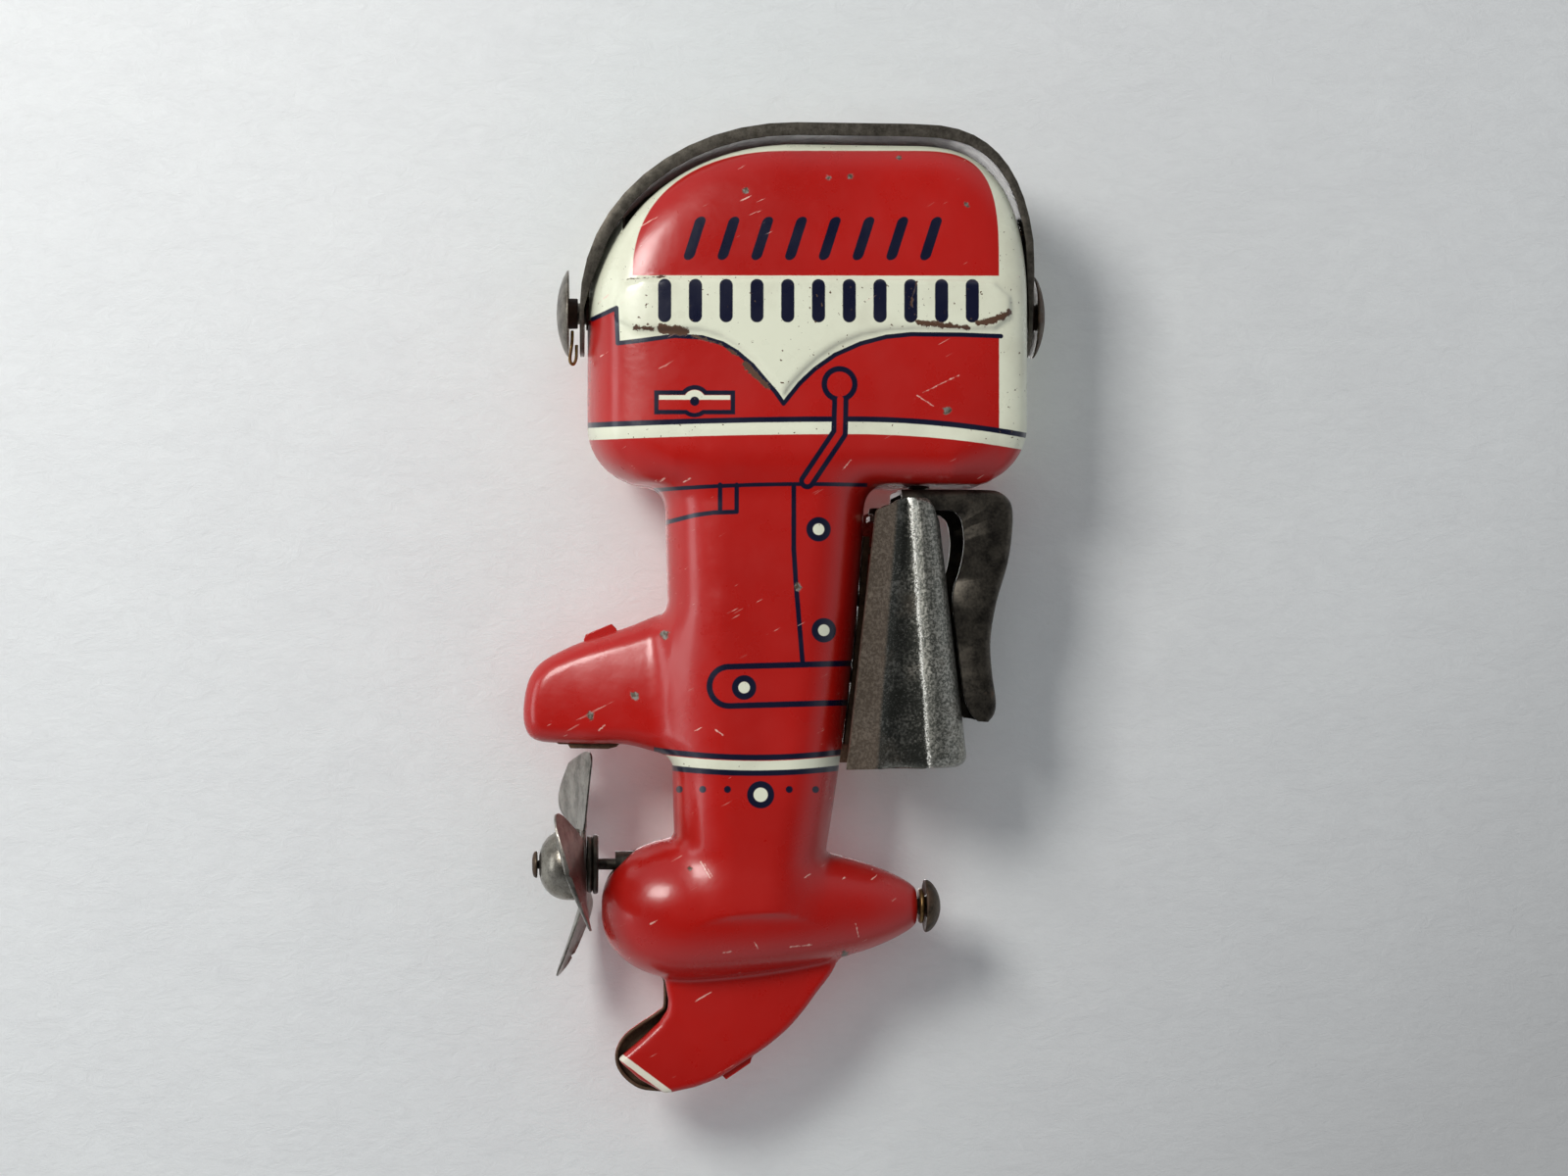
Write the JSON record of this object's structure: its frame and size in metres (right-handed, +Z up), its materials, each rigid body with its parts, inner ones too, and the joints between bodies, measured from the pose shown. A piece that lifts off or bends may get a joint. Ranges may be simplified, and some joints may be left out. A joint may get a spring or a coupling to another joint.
{
  "type": "toy outboard motor",
  "caption": "Pressed-tin toy outboard motor with cover strap, battery drive, propeller and spring transom clamp.",
  "frame": {"origin": "middle of the roof of the transom slot, between the bracket's raked face and the spring jaw", "axes": "+Z up along the leg when the motor hangs on a boat, +X forward to the boat, +Y to port"},
  "size_m": [0.0692, 0.0275, 0.1267],
  "materials": {
    "painted_tin": "gloss lithographed tin, worn",
    "strap_steel": "dull darkened steel",
    "dark_steel": "dark, lightly rusted",
    "zinc": "mottled zinc plate",
    "pewter": "dull plate",
    "brass": "tarnished",
    "fibre": "vulcanised fibre",
    "copper": "enamelled copper",
    "magnet": "ground",
    "carbon": "matt",
    "cell_wrap": "plain printed card",
    "wire_cover": "waxed cotton",
    "gear_fibre": "moulded"
  },
  "bodies": {
    "transom_clamp": {"clamp_bracket": "zinc", "steering_pin": "dark_steel", "clamp_spring_arm": "dark_steel", "clip_rivet_1": "dark_steel", "clip_rivet_2": "dark_steel"},
    "spring_jaw": {"clamp_spring_jaw": "dark_steel"},
    "motor_unit": {"starboard_shell": "painted_tin", "port_shell": "painted_tin", "rear_pivot_rivet": "dark_steel", "front_pivot_rivet": "dark_steel", "rear_fibre_spacer": "fibre", "rear_fibre_bush": "fibre", "front_fibre_spacer": "fibre", "front_fibre_bush": "fibre", "contact_wire": "brass", "battery_cell": "cell_wrap", "battery_cap": "zinc", "contact_spring": "zinc", "battery_cradle": "zinc", "motor_can": "zinc", "motor_end_cap": "fibre", "upper_motor_bearing": "brass", "lower_motor_bearing": "brass", "rear_magnet": "magnet", "front_magnet": "magnet", "rear_brush": "carbon", "front_brush": "carbon", "gear_frame": "zinc", "rear_shaft_bearing": "brass", "front_shaft_bearing": "brass", "stern_bush": "brass", "nose_rivet": "dark_steel", "nose_washer": "fibre", "rear_lead_wire": "wire_cover", "front_lead_wire": "wire_cover", "steering_lug": "zinc", "lug_rivet_1": "dark_steel", "lug_rivet_2": "dark_steel"},
    "strap": {"cover_strap": "strap_steel"},
    "rotor": {"armature_shaft": "pewter", "armature_core": "dark_steel", "armature_coil_1": "copper", "armature_coil_2": "copper", "armature_coil_3": "copper", "commutator": "copper", "pinion_gear": "brass"},
    "screw": {"propeller_shaft": "pewter", "crown_gear": "gear_fibre", "propeller": "pewter", "propeller_spinner": "pewter", "shaft_end_cap": "dark_steel", "propeller_collar": "strap_steel"}
  },
  "joints": [
    {"name": "jaw_flex", "type": "hinge", "parent": "transom_clamp", "child": "spring_jaw", "pos_m": [0.0046, 0, 0.00205], "axis": [0, -1, 0], "range_deg": [0, 8], "stiffness_Nm_per_rad": 0.5},
    {"name": "steer", "type": "hinge", "parent": "transom_clamp", "child": "motor_unit", "pos_m": [-0.0082, 0, -0.017], "axis": [0, 0, 1], "range_deg": [-15, 15]},
    {"name": "strap_swing", "type": "hinge", "parent": "motor_unit", "child": "strap", "pos_m": [-0.02, 0, 0.0258], "axis": [1, 0, 0], "range_deg": [-70, 70]},
    {"name": "motor_spin", "type": "hinge", "parent": "motor_unit", "child": "rotor", "pos_m": [-0.024, 0, 0], "axis": [0, 0, 1], "continuous": true},
    {"name": "propeller_spin", "type": "hinge", "parent": "motor_unit", "child": "screw", "pos_m": [-0.0489, 0, -0.0468], "axis": [1, 0, 0], "continuous": true}
  ],
  "couplings": [
    {"joint": "propeller_spin", "follows": "motor_spin", "ratio": 0.33333}
  ]
}
